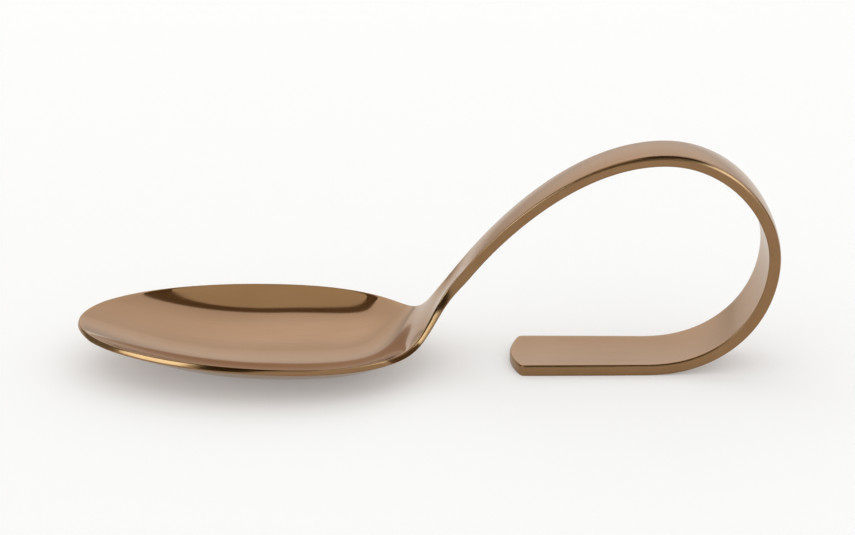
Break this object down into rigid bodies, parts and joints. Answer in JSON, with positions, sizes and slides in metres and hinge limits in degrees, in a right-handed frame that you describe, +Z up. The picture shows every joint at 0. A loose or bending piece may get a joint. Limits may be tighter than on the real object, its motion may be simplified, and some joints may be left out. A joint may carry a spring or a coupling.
{
  "type": "appetizer spoon",
  "caption": "Small serving spoon with an oval bowl and a strip handle that loops over and back under as a flat foot, so that it stands level and holds one bite.",
  "frame": {"origin": "on the table, below the middle of the spoon's length and width", "axes": "+X from the bowl's tip to the back of the loop, +Y across the spoon, +Z up from the table"},
  "size_m": [0.1251, 0.04, 0.0407],
  "materials": {
    "coated_steel": "polished"
  },
  "bodies": {
    "root": {"bowl": "coated_steel", "handle": "coated_steel"}
  },
  "joints": []
}
